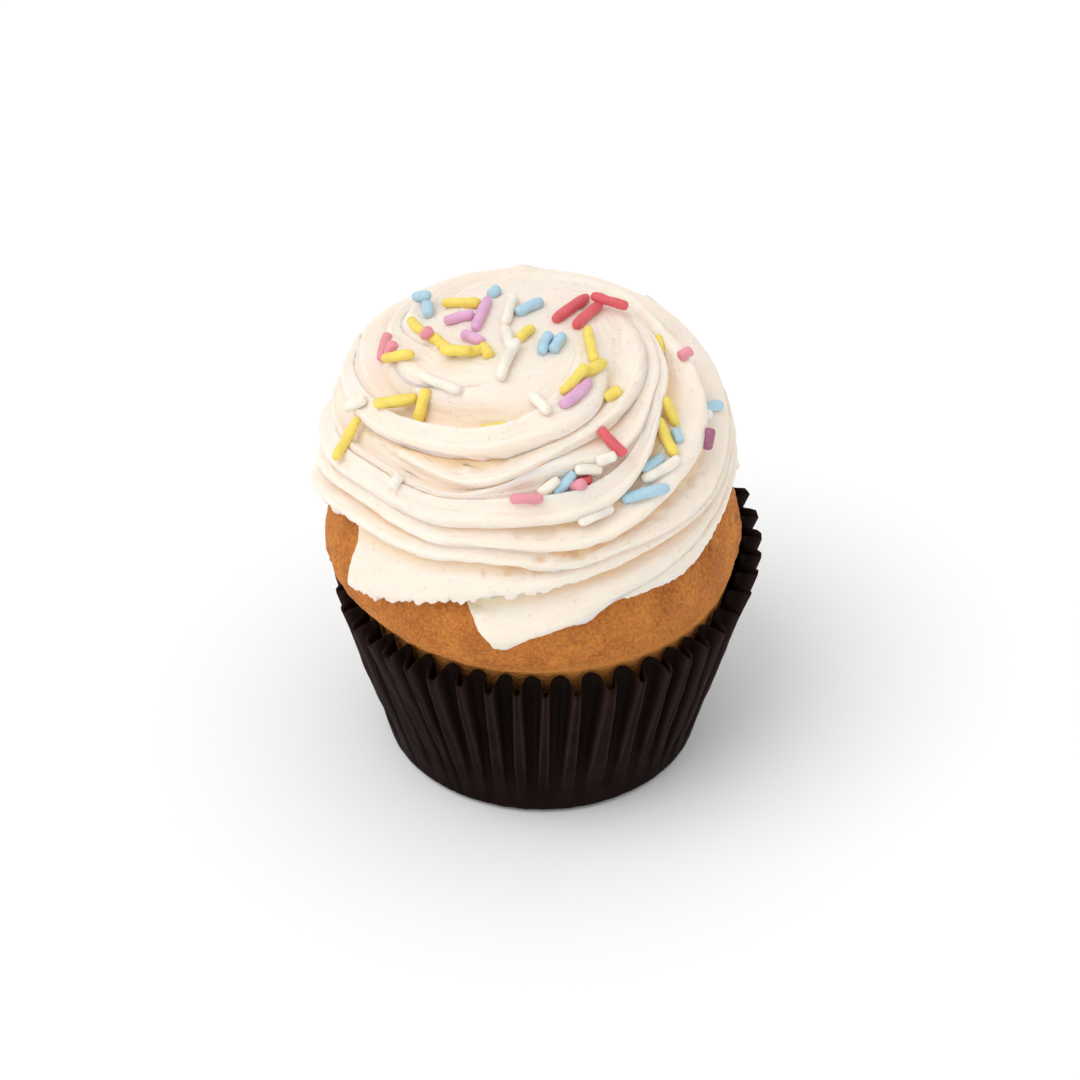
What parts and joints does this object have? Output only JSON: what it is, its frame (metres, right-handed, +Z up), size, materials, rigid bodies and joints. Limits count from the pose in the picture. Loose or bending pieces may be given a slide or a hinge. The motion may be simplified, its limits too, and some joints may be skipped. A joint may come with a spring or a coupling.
{
  "type": "cupcake",
  "caption": "Domed sponge cupcake in a dark fluted paper case, topped with a ridged swirl of pale buttercream and scattered sugar strands.",
  "frame": {"origin": "middle of the paper case's flat base, on the surface that it stands on", "axes": "+Z up through the case, -Y towards the front, where two buttercream tips hang lowest"},
  "size_m": [0.0729, 0.0695, 0.0805],
  "materials": {
    "case_paper": "dark brown greaseproof paper, faint sheen",
    "sponge": null,
    "buttercream": null
  },
  "bodies": {
    "root": {"paper_case": "case_paper", "sponge": "sponge", "buttercream": "buttercream"}
  },
  "joints": []
}
